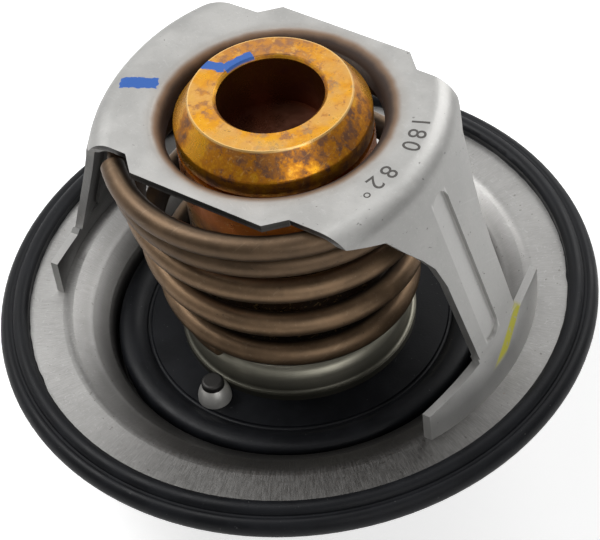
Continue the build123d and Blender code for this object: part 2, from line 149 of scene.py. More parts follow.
class Nodes:
    """Short ways to add nodes to one tree; most give back the socket that they make."""

    def __init__(self, tree):
        self.tree = tree

    def new(self, kind, inputs=(), **settings):
        """A node with its settings set and its inputs fed by name or number; gives back the node."""
        node = self.tree.nodes.new(kind)
        for name, value in settings.items():
            setattr(node, name, value)
        for name, value in dict(inputs).items():
            self.feed(node.inputs[name], value)
        return node

    def feed(self, socket, value):
        """Links a socket to the input, or sets it to a plain value or an opaque colour."""
        if isinstance(value, bpy.types.NodeSocket):
            self.tree.links.new(value, socket)
        elif socket.type == "RGBA":
            socket.default_value = (*value, 1)
        else:
            socket.default_value = value

    def math(self, operation, first, *others):
        """One math operation, worked from the left where there are more than two values."""
        if not others:
            return self.new("ShaderNodeMath", {0: first}, operation=operation).outputs[0]
        for value in others:
            first = self.new("ShaderNodeMath", {0: first, 1: value}, operation=operation).outputs[0]
        return first

    def add(self, *values):
        return self.math("ADD", *values)

    def minus(self, *values):
        return self.math("SUBTRACT", *values)

    def times(self, *values):
        return self.math("MULTIPLY", *values)

    def over(self, *values):
        return self.math("DIVIDE", *values)

    def most(self, *values):
        return self.math("MAXIMUM", *values)

    def absolute(self, value):
        return self.math("ABSOLUTE", value)

    def mix(self, factor, a, b):
        """Colour between a and b."""
        node = self.new("ShaderNodeMix", {0: factor, 6: a, 7: b}, data_type="RGBA")
        return node.outputs[2]

    def blend(self, factor, a, b):
        """Value between a and b."""
        return self.new("ShaderNodeMix", {0: factor, 2: a, 3: b}, data_type="FLOAT").outputs[0]

    def lay(self, under, colour, mask, strength=None):
        """A colour over another one where the mask is 1, thinned by the strength."""
        if strength is not None:
            mask = self.times(mask, strength)
        return self.mix(mask, under, colour)

    def band(self, value, low, high, start=0.0, end=1.0):
        """Smooth change from start to end as a value goes from low to high."""
        node = self.new("ShaderNodeMapRange", {0: value, 1: low, 2: high, 3: start, 4: end},
                        interpolation_type="SMOOTHSTEP")
        return node.outputs[0]

    def below(self, value, low, high):
        """1 under low, which sinks to 0 at high."""
        return self.band(value, low, high, 1.0, 0.0)

    def within(self, value, low, high, soft):
        """1 between low and high, with soft ends."""
        return self.times(self.band(value, low - soft, low + soft),
                          self.below(value, high - soft, high + soft))

    def noise(self, vector, scale, detail=3.0, rough=0.5, stretch=None, shift=0.0):
        """Noise of a place: stretch scales each axis first, and shift keeps patterns from matching."""
        if stretch or shift:
            vector = self.new("ShaderNodeMapping", {"Vector": vector, "Scale": stretch or (1, 1, 1),
                                                    "Location": (shift, shift, shift)}).outputs[0]
        node = self.new("ShaderNodeTexNoise",
                        {"Vector": vector, "Scale": scale, "Detail": detail, "Roughness": rough})
        return node.outputs["Fac"]

    def xyz(self, vector):
        return self.new("ShaderNodeSeparateXYZ", {0: vector}).outputs

    def vector(self, x, y, z):
        return self.new("ShaderNodeCombineXYZ", {0: x, 1: y, 2: z}).outputs[0]

    def vector_math(self, operation, a, b):
        return self.new("ShaderNodeVectorMath", {0: a, 1: b}, operation=operation).outputs

    def surface_normal(self):
        """The unbumped surface normal's three parts on an untransformed piece."""
        return self.xyz(self.new("ShaderNodeNewGeometry").outputs["Normal"])

    def seen_ray(self):
        """1 for rays that show white surroundings: straight from the camera, off gloss and through glass."""
        paths = self.new("ShaderNodeLightPath").outputs
        return self.most(paths["Is Camera Ray"], self.most(paths["Is Glossy Ray"],
                                                           paths["Is Transmission Ray"]))


def new_group(name, inputs, outputs):
    """An empty shader node group with named sockets: (name, type, default) in, (name, type) out."""
    tree = bpy.data.node_groups.new(name, "ShaderNodeTree")
    for label, kind, default in inputs:
        socket = tree.interface.new_socket(name=label, in_out="INPUT", socket_type="NodeSocket" + kind)
        if default is not None:
            socket.default_value = default
    for label, kind in outputs:
        tree.interface.new_socket(name=label, in_out="OUTPUT", socket_type="NodeSocket" + kind)
    start, end = tree.nodes.new("NodeGroupInput"), tree.nodes.new("NodeGroupOutput")
    return Nodes(tree), start.outputs, end.inputs


def group_turned_place():
    """Place on a turned piece in millimetres: position, radius, height and grains that run round and out."""
    n, _, end = new_group("turned_place", [], [("Position", "Vector"), ("Radius", "Float"),
                                               ("Height", "Float"), ("Round Grain", "Vector"),
                                               ("Ray Grain", "Vector")])
    coords = n.new("ShaderNodeTexCoord").outputs["Object"]
    position = n.vector_math("MULTIPLY", coords, (1 / MM, 1 / MM, 1 / MM))[0]
    x, y, z = n.xyz(position)
    radius = n.math("SQRT", n.add(n.times(x, x), n.times(y, y)))
    unit_x, unit_y = n.over(x, radius), n.over(y, radius)
    round_fineness, ray_fineness = 6.0, 190.0
    n.feed(end["Position"], position)
    n.feed(end["Radius"], radius)
    n.feed(end["Height"], z)
    n.feed(end["Round Grain"], n.vector(n.times(radius, round_fineness), n.times(z, round_fineness),
                                        n.times(unit_x, 2.0)))
    n.feed(end["Ray Grain"], n.vector(n.times(unit_x, ray_fineness), n.times(unit_y, ray_fineness),
                                      n.times(radius, 0.9)))


def group_shop_marks():
    """Handling marks: fine scratches in three directions, sparse dark specks and a broad cloud."""
    n, start, end = new_group("shop_marks", [("Position", "Vector", None), ("Scratches", "Float", 0.5),
                                             ("Specks", "Float", 0.5)],
                              [("Scratch", "Float"), ("Speck", "Float"), ("Cloud", "Float")])
    position = start["Position"]
    lines = []
    for turn, shift in ((0.4, 3.0), (1.5, 17.0), (2.6, 41.0)):
        turned = n.new("ShaderNodeMapping", {"Vector": position, "Rotation": (0.5, turn * 0.4, turn),
                                             "Location": (shift, shift, shift)}).outputs[0]
        lines.append(n.band(n.noise(turned, 1.0, 2.0, 0.5, (0.12, 3.2, 3.2)), 0.66, 0.70))
    speck = n.band(n.noise(position, 1.5, 2.0, 0.6, shift=7.0), 0.70, 0.74)
    n.feed(end["Scratch"], n.times(n.most(*lines), start["Scratches"]))
    n.feed(end["Speck"], n.times(speck, start["Specks"]))
    n.feed(end["Cloud"], n.noise(position, 0.16, 4.0, 0.6, shift=11.0))


def group_paint_dab():
    """A brushed dab of paint: a box in millimetres round a centre, with an uneven edge."""
    n, start, end = new_group("paint_dab", [("Position", "Vector", None), ("Centre", "Vector", (0, 0, 0)),
                                            ("Turn", "Float", 0.0), ("Length", "Float", 4.0),
                                            ("Width", "Float", 1.0)], [("Mask", "Float")])
    position = start["Position"]
    local = n.vector_math("SUBTRACT", position, start["Centre"])[0]
    turned = n.new("ShaderNodeVectorRotate", {"Vector": local, "Angle": start["Turn"]},
                   rotation_type="Z_AXIS").outputs[0]
    x, y, z = n.xyz(turned)
    wobble = n.times(n.minus(n.noise(position, 1.3, 3.0, 0.6), 0.5), 0.9)
    past_end = n.minus(n.absolute(n.add(x, wobble)), n.times(start["Length"], 0.5))
    past_side = n.minus(n.absolute(n.add(y, wobble)), n.times(start["Width"], 0.5))
    in_outline = n.below(n.most(past_end, past_side), -0.06, 0.06)
    n.feed(end["Mask"], n.times(in_outline, n.below(n.absolute(z), 1.5, 1.7)))


class Finish:
    """One material: its Principled BSDF, the shared groups it uses and the sockets that they give."""

    def __init__(self, name):
        self.material = bpy.data.materials.new(name)
        self.material.use_nodes = True
        tree = self.material.node_tree
        tree.nodes.clear()
        self.n = Nodes(tree)
        self.bsdf = self.n.new("ShaderNodeBsdfPrincipled")
        self.n.new("ShaderNodeOutputMaterial", {"Surface": self.bsdf.outputs[0]})
        place = self.group("turned_place")
        self.position, self.radius, self.height = place["Position"], place["Radius"], place["Height"]
        self.round_grain, self.ray_grain = place["Round Grain"], place["Ray Grain"]

    def group(self, name, **inputs):
        node = self.n.new("ShaderNodeGroup", node_tree=bpy.data.node_groups[name])
        for label, value in inputs.items():
            self.n.feed(node.inputs[label.title()], value)
        return node.outputs

    def marks(self, scratches, specks):
        marks = self.group("shop_marks", position=self.position, scratches=scratches, specks=specks)
        return marks["Scratch"], marks["Speck"], marks["Cloud"]

    def dab(self, centre, turn, length, width):
        return self.group("paint_dab", position=self.position, centre=centre, turn=turn, length=length,
                          width=width)["Mask"]

    def set(self, **values):
        """Feeds the shader's inputs by their names in small letters."""
        for name, value in values.items():
            self.n.feed(self.bsdf.inputs[name.replace("_", " ").title().replace("Ior", "IOR")], value)

    def bump(self, height, distance, strength):
        node = self.n.new("ShaderNodeBump", {"Height": height, "Distance": distance, "Strength": strength})
        self.n.feed(self.bsdf.inputs["Normal"], node.outputs[0])


# ---------------------------------------------------------------- finishes

def stain_and_shade_collar(f, steel):
    """Heat stain, tan on the collar's round and brown down its wall, with painted shade: a grey halo that
    dulls the highlight on the round, and the whole reaching further towards +X, where the collar's wall is
    painted darker.
    """
    n = f.n
    x, y, _ = n.xyz(f.position)
    wander = n.times(n.minus(n.noise(f.position, 0.5), 0.5), 0.4)
    # painted shade: the stain's reach leans out towards +X and +Y
    painted_shade_lean = n.add(n.times(x, 0.022), n.times(y, 0.010))
    reach = n.minus(n.add(f.radius, wander), painted_shade_lean)
    by_collar = n.below(f.radius, 14.6, 15.2)
    # the grey halo is painted shade that dulls the highlight on the collar's round
    halo_painted_shade = n.times(by_collar, n.below(reach, 12.9, 14.2))
    tan = n.times(by_collar, n.below(reach, 12.45, 13.2))
    brown = n.times(by_collar, n.below(reach, 11.9, 12.7))
    steel = n.lay(steel, (0.30, 0.265, 0.23), halo_painted_shade, 0.35)
    steel = n.lay(steel, (0.22, 0.13, 0.07), tan, 0.9)
    return n.lay(steel, (0.022, 0.011, 0.007), brown), tan


def darken_cut_edges(f, steel):
    """Sheared edges: near black with a lighter burr round the plate, half as dark on the legs and feet; the
    dark is partly the cut steel's own tone and partly painted shade.
    """
    n = f.n
    _, y, _ = n.xyz(f.position)
    _, normal_y, normal_z = n.surface_normal()
    level, sideways = n.absolute(normal_z), n.absolute(normal_y)
    plan_cut = n.times(n.band(f.height, PLATE_UNDERSIDE - 0.2, PLATE_UNDERSIDE - 0.05),
                       n.below(level, 0.25, 0.4), n.band(sideways, 0.55, 0.75),
                       n.band(n.absolute(y), 11.6, 12.0))
    side_cut = n.times(n.band(sideways, 0.8, 0.95),
                       n.below(f.height, PLATE_UNDERSIDE - 0.25, PLATE_UNDERSIDE - 0.05))
    foot_cut = n.times(n.band(level, 0.8, 0.95), n.below(f.height, 6.0, 6.4))
    burr = n.below(f.height, PLATE_UNDERSIDE + 0.2, PLATE_UNDERSIDE + 0.35)
    grain = n.noise(f.position, 1.0, 3.0, 0.6, (6, 6, 0.6))
    # the near black edge colours are partly the sheared steel's tone and partly painted shade on the cut
    # faces
    low_edge = n.mix(grain, (0.05, 0.048, 0.045), (0.30, 0.29, 0.28))
    plan_edge = n.mix(grain, (0.012, 0.011, 0.010), n.mix(burr, (0.05, 0.047, 0.043), (0.22, 0.21, 0.20)))
    steel = n.lay(steel, low_edge, n.most(side_cut, foot_cut), 0.55)
    return n.lay(steel, plan_edge, plan_cut, 0.92)


def shade_legs(f, steel):
    """Painted light and shade on the legs: the rib's floor painted lighter, painted highlights on its walls,
    the foot painted lighter, and painted shade on the inner face.
    """
    n = f.n
    x, y, _ = n.xyz(f.position)
    outward = n.math("SIGN", x)
    rib_middle = 0.4
    across = n.absolute(n.minus(n.times(y, outward), rib_middle))
    on_leg = n.times(n.band(n.absolute(x), 18.4, 18.8), n.within(f.height, 5.9, 23.9, 0.3))
    # painted light on the rib's floor and painted highlights on its walls
    rib_floor_painted_light = n.times(on_leg, n.band(across, 1.05, 1.3, 0.30, 0.0))
    rib_wall_painted_highlight = n.times(on_leg, n.within(across, 1.25, 1.5, 0.1))
    # painted light on the foot
    foot = n.band(f.height, 4.0, 7.0, 0.35, 0.0)
    # painted shade on the inner faces of the legs
    inner_face_painted_shade = n.times(n.below(n.times(n.surface_normal()[0], outward), -0.6, -0.2),
                         n.band(n.absolute(x), 16.0, 18.0))
    steel = n.lay(steel, (0.74, 0.735, 0.72), rib_floor_painted_light)
    steel = n.lay(steel, (0.85, 0.845, 0.83), rib_wall_painted_highlight, 0.4)
    steel = n.lay(steel, (0.72, 0.715, 0.70), foot)
    return n.lay(steel, (0.04, 0.039, 0.037), inner_face_painted_shade, 0.9)


def paint_frame(f, steel, colours):
    """A blue dab on the plate, and a yellow stroke down the lower corner of the leg at +X."""
    n = f.n
    x, y, _ = n.xyz(f.position)
    blue = f.dab((-15.0, -2.85, PLATE_TOP), math.radians(-25), 4.1, 1.6)
    past_corner = n.minus(y, n.times(n.minus(f.height, 2.8), 2.3))
    bitty = n.band(n.noise(f.position, 0.7, 2.0, 0.7, shift=5.0), 0.30, 0.42)
    yellow = n.times(n.within(past_corner, -0.6, 2.1, 0.35), n.within(f.height, 2.6, 5.2, 0.3),
                     n.band(x, 20, 21), bitty)
    steel = n.lay(steel, colours.blue_mark, blue)
    return n.lay(steel, colours.yellow_mark, yellow, 0.96), n.most(blue, yellow)


def finish_frame_steel(colours):
    """Matte stamped steel: dark sheared edges partly in painted shade, heat stain with painted shade in the
    collar, painted light and shade on the legs, scratches and paint dabs.
    """
    f = Finish("frame_steel")
    n = f.n
    scratch, speck, cloud = f.marks(0.35, 0.8)
    fine = n.noise(f.position, 2.2, 5.0, 0.65)
    steel = n.mix(n.band(cloud, 0.35, 0.65), shade(colours.plate_steel, 0.86), colours.plate_steel)
    steel = n.lay(steel, (0.30, 0.30, 0.29), n.band(fine, 0.55, 0.75), 0.25)
    steel = n.lay(steel, (0.62, 0.62, 0.61), scratch, 0.35)
    steel = n.lay(steel, (0.10, 0.095, 0.09), speck, 0.7)
    steel, tan = stain_and_shade_collar(f, steel)
    steel = darken_cut_edges(f, steel)
    steel = shade_legs(f, steel)
    steel, paint = paint_frame(f, steel, colours)
    coated = n.most(paint, tan)
    f.set(base_color=steel, metallic=n.minus(0.66, n.times(coated, 0.64)),
          roughness=n.blend(coated, n.band(cloud, 0.3, 0.7, 0.38, 0.50), 0.7))
    f.bump(n.minus(fine, n.times(scratch, 0.5)), 0.03 * MM, 0.6)
    return f.material


def finish_flange_steel(colours):
    """Drawn and brushed steel: fine rays, a painted highlight on the ridge, painted shade inside it, rust and
    dirt, painted shade on the near side and a painted shadow by the far leg.
    """
    f = Finish("flange_steel")
    n = f.n
    x, y, _ = n.xyz(f.position)
    rays = n.noise(f.ray_grain, 1.0, 4.0, 0.6)
    scratch, speck, cloud = f.marks(0.4, 1.0)
    # a painted highlight on the ridge, and painted shade down the slope and the seat side inside it
    ridge_painted_highlight = n.within(f.radius, 22.6, 23.7, 0.35)
    slope_painted_shade = n.below(f.radius, 23.2, 26.0)
    seat_side_painted_shade = n.below(f.radius, 21.4, 23.6)
    dirt = n.band(n.noise(f.position, 2.4, 3.0, 0.7, shift=9.0), 0.68, 0.72)
    rust = n.band(n.noise(f.position, 0.9, 3.0, 0.7, shift=23.0), 0.73, 0.76)
    steel = n.mix(n.band(cloud, 0.35, 0.7), shade(colours.rim_steel, 0.85), colours.rim_steel)
    steel = n.lay(steel, (0.46, 0.455, 0.445), n.band(rays, 0.35, 0.7, 0.0, 0.25))
    for mask, strength, colour in ((scratch, 0.4, (0.58, 0.575, 0.565)),
                                   (ridge_painted_highlight, 0.25, (0.60, 0.595, 0.58)),
                                   (slope_painted_shade, 0.45, (0.10, 0.095, 0.09)),
                                   (seat_side_painted_shade, 0.75, (0.05, 0.047, 0.044)),
                                   (dirt, 0.75, (0.10, 0.085, 0.07)),
                                   (rust, 0.8, (0.24, 0.10, 0.035)),
                                   (speck, 0.6, (0.12, 0.11, 0.10))):
        steel = n.lay(steel, colour, mask, strength)
    # painted shade lies on the near side between the legs, where the brushed steel shows a dark reflection,
    # and a painted shadow where the plate shades the flange by the far leg
    side = n.over(n.minus(n.times(x, 0.62), n.times(y, 0.78)), f.radius)
    near_side_painted_shade = n.times(n.band(side, 0.25, 1.0), n.band(rays, 0.3, 0.7, 0.68, 0.60))
    from_painted_shadow = n.vector_math("DISTANCE", f.position, (-26.0, 12.3, FLANGE_TOP))["Value"]
    painted_shadow_patch = n.band(from_painted_shadow, 2.2, 5.0, 0.85, 0.0)
    steel = n.lay(steel, (0.03, 0.028, 0.026), n.most(near_side_painted_shade, painted_shadow_patch))
    f.set(base_color=steel, metallic=0.88,
          roughness=n.add(n.band(rays, 0.3, 0.7, 0.36, 0.46), n.times(dirt, 0.3)))
    f.bump(n.add(n.times(rays, 0.8), n.times(cloud, 1.2)), 0.04 * MM, 0.6)
    return f.material


def finish_cup_steel(colours):
    """Olive-grey satin of the drawn cup, with painted shade down to its rim, lighter towards +X where the
    light falls.
    """
    f = Finish("cup_steel")
    n = f.n
    x, y, _ = n.xyz(f.position)
    _, speck, cloud = f.marks(0.3, 0.6)
    turned = n.noise(f.round_grain, 0.8, 3.0, 0.6)
    steel = n.mix(n.band(cloud, 0.3, 0.7), shade(colours.cup_steel, 0.8), colours.cup_steel)
    steel = n.lay(steel, (0.32, 0.31, 0.265), turned, 0.35)
    # painted shade darkens the cup down to its rim, less on the lit side towards +X
    lit_side = n.add(n.times(x, 0.78), n.times(y, 0.62))
    painted_shade = n.times(n.below(f.height, -2.8, 0.2), n.band(lit_side, 5.0, 12.5, 0.93, 0.45))
    steel = n.lay(steel, (0.03, 0.029, 0.022), painted_shade)
    steel = n.lay(steel, (0.12, 0.11, 0.10), speck, 0.6)
    f.set(base_color=steel, metallic=0.75, roughness=n.band(turned, 0.3, 0.7, 0.40, 0.52))
    f.bump(turned, 0.03 * MM, 0.5)
    return f.material


def tarnish_brass(f, fine_patch, colours):
    """Golden brass under orange, purple-brown and grey patches.

    On the face they are thickest towards -X and +Y, and on the cone towards +X.
    """
    n = f.n
    x, y, _ = n.xyz(f.position)
    face = n.band(f.height, ELEMENT_TOP - 0.15, ELEMENT_TOP - 0.05)
    patches = n.add(n.times(n.noise(f.position, 0.17, 5.0, 0.62, shift=2.0), 0.6), n.times(fine_patch, 0.4))
    far = n.minus(n.times(y, 0.08), n.times(x, 0.065))
    right = n.add(n.times(x, 0.078), n.times(y, 0.062))
    lean = n.blend(face, n.minus(n.times(right, 0.22), n.times(far, 0.5)), far)
    worn = n.add(patches, n.times(lean, 0.09), n.blend(face, -0.022, 0.0))
    golden = n.band(n.noise(f.position, 0.3, 3.0, 0.6, shift=51.0), 0.35, 0.65)
    orange = n.times(n.band(worn, 0.44, 0.52), n.blend(face, 0.85, 0.45))
    purple = n.band(worn, 0.515, 0.565)
    bloom = n.band(n.noise(f.position, 0.9, 4.0, 0.65, shift=13.0), 0.38, 0.62, 0.35, 0.85)
    grey = n.times(n.band(n.noise(f.position, 0.34, 4.0, 0.65, shift=77.0), 0.60, 0.68),
                   n.blend(face, 0.35, 0.6))
    pale = n.times(face, n.minus(1.0, purple),
                   n.band(n.noise(f.position, 0.22, 3.0, 0.6, shift=61.0), 0.42, 0.58))
    metal = n.mix(golden, colours.brass, (0.80, 0.36, 0.025))
    metal = n.lay(metal, (0.50, 0.17, 0.010), orange)
    metal = n.lay(metal, n.mix(face, colours.brass_tarnish, (0.26, 0.125, 0.075)), purple, bloom)
    metal = n.lay(metal, (0.30, 0.20, 0.12), grey)
    return n.lay(metal, (0.66, 0.43, 0.17), pale, 0.45), worn


def orange_and_shade_brass(f, fine_patch, metal):
    """Brown painted shade under the plate, the orange wall under it and black painted shade on the lower wall
    inside the spring; a painted highlight on the outer top edge and a dark inner one.
    """
    n = f.n
    # brown painted shade under the plate, and black painted shade on the lower wall inside the spring
    under_plate_painted_shade = n.below(f.height, 26.0, 28.0)
    wall = n.within(f.height, 19.0, 25.2, 1.0)
    low_wall_painted_shade = n.band(f.height, 14.0, 19.0, 0.95, 0.0)
    top_edge = n.band(f.height, ELEMENT_TOP - 0.35, ELEMENT_TOP - 0.15)
    # a painted highlight along the outer top edge
    outer_edge_painted_highlight = n.times(n.within(f.radius, 8.44, 8.66, 0.05), top_edge)
    inner_edge = n.times(n.below(f.radius, 5.72, 5.9), top_edge)
    metal = n.lay(metal, (0.14, 0.045, 0.010), under_plate_painted_shade, 0.55)
    metal = n.lay(metal, n.mix(fine_patch, (0.62, 0.16, 0.008), (0.30, 0.09, 0.01)), wall)
    metal = n.lay(metal, (0.010, 0.006, 0.003), low_wall_painted_shade)
    metal = n.lay(metal, (0.92, 0.64, 0.27), outer_edge_painted_highlight, 0.6)
    return n.lay(metal, (0.10, 0.05, 0.02), inner_edge, 0.7), top_edge


def finish_brass(colours):
    """Turned brass with a tarnished face and cone, painted shade and a painted highlight, scratches, a
    darkened bore and a blue dab.
    """
    f = Finish("tarnished_brass")
    n = f.n
    scratch, speck, _ = f.marks(0.9, 0.9)
    fine_patch = n.noise(f.position, 0.62, 5.0, 0.7, shift=31.0)
    turned = n.noise(f.round_grain, 1.0, 2.0, 0.5)
    metal, worn = tarnish_brass(f, fine_patch, colours)
    metal, top_edge = orange_and_shade_brass(f, fine_patch, metal)
    bore_wall = n.times(n.below(f.radius, 5.7, 5.95),
                        n.below(f.height, ELEMENT_TOP - 0.55, ELEMENT_TOP - 0.15))
    bore_floor = n.times(n.below(f.radius, 4.9, 5.5), n.below(f.height, 24.0, 24.3))
    metal = n.lay(metal, (0.74, 0.50, 0.20), scratch, 0.22)
    metal = n.lay(metal, (0.10, 0.055, 0.035), speck, 0.7)
    metal = n.lay(metal, (0.07, 0.016, 0.006), bore_wall, 0.93)
    metal = n.lay(metal, (0.12, 0.05, 0.03), bore_floor, 0.6)
    # the dab is two strokes that meet at an angle
    strokes = n.most(f.dab((-7.77, 0.61, ELEMENT_TOP), math.radians(-16), 3.2, 1.3),
                     f.dab((-5.6, 2.5, ELEMENT_TOP), math.radians(-64), 3.4, 1.3))
    blue = n.times(strokes, top_edge)
    metal = n.lay(metal, colours.blue_mark, blue)
    rough = n.add(n.band(worn, 0.4, 0.6, 0.26, 0.46), n.times(scratch, 0.1))
    f.set(base_color=metal, metallic=n.minus(0.72, n.times(blue, 0.72)), roughness=n.blend(blue, rough, 0.5))
    f.bump(n.add(n.times(turned, 0.35), n.times(fine_patch, 0.8)), 0.04 * MM, 0.5)
    return f.material


def finish_spring(colours):
    """Bronze-brown wire with rubbed scratches, and painted shade inside, underneath, on the lower coils and,
    more lightly, on the coils under the plate.
    """
    f = Finish("spring_bronze")
    n = f.n
    x, y, _ = n.xyz(f.position)
    normal_x, normal_y, normal_z = n.surface_normal()
    scratch, speck, _ = f.marks(0.5, 0.7)
    cloud = n.noise(f.position, 0.28, 4.0, 0.6)
    facing_out = n.over(n.add(n.times(normal_x, x), n.times(normal_y, y)), f.radius)
    # painted shade on inner faces, undersides, lower coils and the coils under the plate
    painted_shade = n.most(n.band(facing_out, -0.5, 0.3, 0.92, 0.0), n.band(normal_z, -0.7, 0.1, 0.85, 0.0),
                 n.band(f.height, 2.0, 15.0, 0.1, 0.0), n.band(f.height, 19.0, 22.5, 0.0, 0.48))
    wire = n.mix(n.band(cloud, 0.35, 0.65), shade(colours.spring_bronze, 0.7), colours.spring_bronze)
    wire = n.lay(wire, (0.34, 0.25, 0.17), scratch, 0.5)
    wire = n.lay(wire, (0.05, 0.04, 0.03), speck, 0.6)
    wire = n.lay(wire, (0.018, 0.011, 0.007), painted_shade)
    f.set(base_color=wire, metallic=0.72, roughness=n.band(cloud, 0.3, 0.7, 0.40, 0.50))
    f.bump(n.noise(f.position, 3.0, 3.0, 0.6), 0.03 * MM, 0.4)
    return f.material


def finish_rubber(colours):
    """Moulded rubber: faint bloom, fine pebble and a few dust points."""
    f = Finish("moulded_rubber")
    n = f.n
    bloom = n.noise(f.position, 0.22, 4.0, 0.6)
    dust = n.band(n.noise(f.position, 2.6, 2.0, 0.6, shift=3.0), 0.72, 0.76)
    rubber = n.mix(n.band(bloom, 0.4, 0.7, 0.0, 0.5), colours.rubber, shade(colours.rubber, 2.0))
    rubber = n.lay(rubber, (0.10, 0.10, 0.10), dust, 0.5)
    f.set(base_color=rubber, metallic=0.0, specular_ior_level=0.15,
          roughness=n.band(bloom, 0.3, 0.7, 0.36, 0.50))
    f.bump(n.noise(f.position, 3.5, 4.0, 0.6), 0.04 * MM, 0.35)
    return f.material


def finish_plain_metal(name, colour, rough, metallic=0.9):
    """Plain machined or pressed metal with faint handling marks."""
    f = Finish(name)
    n = f.n
    scratch, speck, cloud = f.marks(0.4, 0.5)
    metal = n.mix(n.band(cloud, 0.35, 0.65), shade(colour, 0.85), colour)
    metal = n.lay(metal, shade(colour, 1.4), scratch, 0.5)
    metal = n.lay(metal, shade(colour, 0.3), speck, 0.5)
    f.set(base_color=metal, metallic=metallic, roughness=n.band(cloud, 0.3, 0.7, rough, rough + 0.12))
    f.bump(n.noise(f.position, 2.5, 3.0, 0.6), 0.03 * MM, 0.4)
    return f.material


def finish_plain_solid(name, colour):
    """Wax or plastic that the closed element hides, mottled and matte."""
    f = Finish(name)
    n = f.n
    cloud = n.noise(f.position, 0.6, 4.0, 0.6)
    f.set(base_color=n.mix(cloud, shade(colour, 0.8), colour), roughness=n.band(cloud, 0.3, 0.7, 0.5, 0.65))
    return f.material


# ---------------------------------------------------------------- mesh building

def new_piece(name, points, faces, material, body, smooth_angle=40):
    """A mesh object at the origin from points in metres; faces turn sharp past the angle."""
    mesh = bpy.data.meshes.new(name)
    mesh.from_pydata(points.reshape(-1, 3).tolist(), [], [list(map(int, face)) for face in faces])
    work = bmesh.new()
    work.from_mesh(mesh)
    bmesh.ops.remove_doubles(work, verts=work.verts, dist=1e-7)
    bmesh.ops.recalc_face_normals(work, faces=work.faces)
    work.to_mesh(mesh)
    work.free()
    mesh.polygons.foreach_set("use_smooth", [True] * len(mesh.polygons))
    mesh.set_sharp_from_angle(angle=math.radians(smooth_angle))
    mesh.materials.append(bpy.data.materials[material])
    piece = bpy.data.objects.new(name, mesh)
    bpy.context.scene.collection.objects.link(piece)
    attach(piece, body)
    return piece


def grid_faces(rows, columns, close_rows, close_columns):
    """Quads of a grid of rows x columns points, joined round in either direction."""
    row = np.arange(rows if close_rows else rows - 1)
    column = np.arange(columns if close_columns else columns - 1)
    r, c = [part.ravel() for part in np.meshgrid(row, column, indexing="ij")]
    here, below = r * columns, (r + 1) % rows * columns
    beside = (c + 1) % columns
    return np.stack([here + c, here + beside, below + beside, below + c], 1)


def circle(steps):
    """Evenly spaced angles round a full circle."""
    return np.linspace(0, 2 * math.pi, steps, endpoint=False)


def coil_centre(sizes, turns):
    """Centre line of the conical spring at each turn count.

    The angle grows with the turns. The radius falls from the top coil to the bottom one as the 1.4th
    power of the share of turns. The height falls by a set share of the free height at each station, and
    is evened out over a tenth of a turn either side. The whole line leans a little at its upper end.
    """
    stations = [0.0, 0.24, 0.62, 1.24, 2.24, 3.24, 4.24, sizes.coil_turns]
    fall = [0.0, 0.012, 0.07, 0.145, 0.357, 0.628, 0.89, 1.0]
    evening = np.linspace(-0.1, 0.1, 11)
    lean_x, lean_y = -0.15 * MM, -0.6 * MM
    top = PLATE_UNDERSIDE * MM - sizes.wire_diameter / 2
    bottom = CUP_RIM * MM + sizes.wire_diameter / 2
    height = top - (top - bottom) * np.interp(turns[:, None] + evening, stations, fall).mean(1)
    share = turns / sizes.coil_turns
    radius = sizes.coil_top_radius + (sizes.coil_bottom_radius - sizes.coil_top_radius) * share ** 1.4
    angle = sizes.coil_start + 2 * math.pi * turns
    return np.stack([radius * np.cos(angle) + lean_x * (1 - share),
                     radius * np.sin(angle) + lean_y * (1 - share), height], 1)


class THERMOSTAT_OT_wind_spring(bpy.types.Operator):
    """Winds the conical spring as a tube round its centre line.

    Each ring of the tube lies across the centre line, on its outward and upward directions. The ends are
    cut square, with a small broken edge.
    """

    bl_idname = "thermostat.wind_spring"
    bl_label = "Wind spring"

    def execute(self, context):
        sizes = context.scene.thermostat_sizes
        stations, sides = 480, 28
        wire_radius = sizes.wire_diameter / 2
        end_face, broken_edge = 0.9, 0.1 * MM
        centre = coil_centre(sizes, np.linspace(0, sizes.coil_turns, stations))
        along = np.gradient(centre, axis=0)
        along /= np.linalg.norm(along, axis=1)[:, None]
        outward = centre * [1, 1, 0]
        outward -= along * (outward * along).sum(1)[:, None]
        outward /= np.linalg.norm(outward, axis=1)[:, None]
        upward = np.cross(along, outward)
        around = circle(sides)[:, None]
        ring = (outward[:, None] * np.cos(around) + upward[:, None] * np.sin(around)) * wire_radius
        tube = centre[:, None] + ring
        start_cap = [centre[:1, None] + ring[:1] * share for share in (0.0, end_face)]
        end_cap = [centre[-1:, None] + ring[-1:] * share for share in (end_face, 0.0)]
        tube[0] += along[0] * broken_edge
        tube[-1] -= along[-1] * broken_edge
        points = np.concatenate([*start_cap, tube, *end_cap])
        spring = new_piece("conical_spring", points, grid_faces(len(points), sides, False, True),
                           "spring_bronze", "housing")
        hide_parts("main_spring")
        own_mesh(spring)
        return {"FINISHED"}


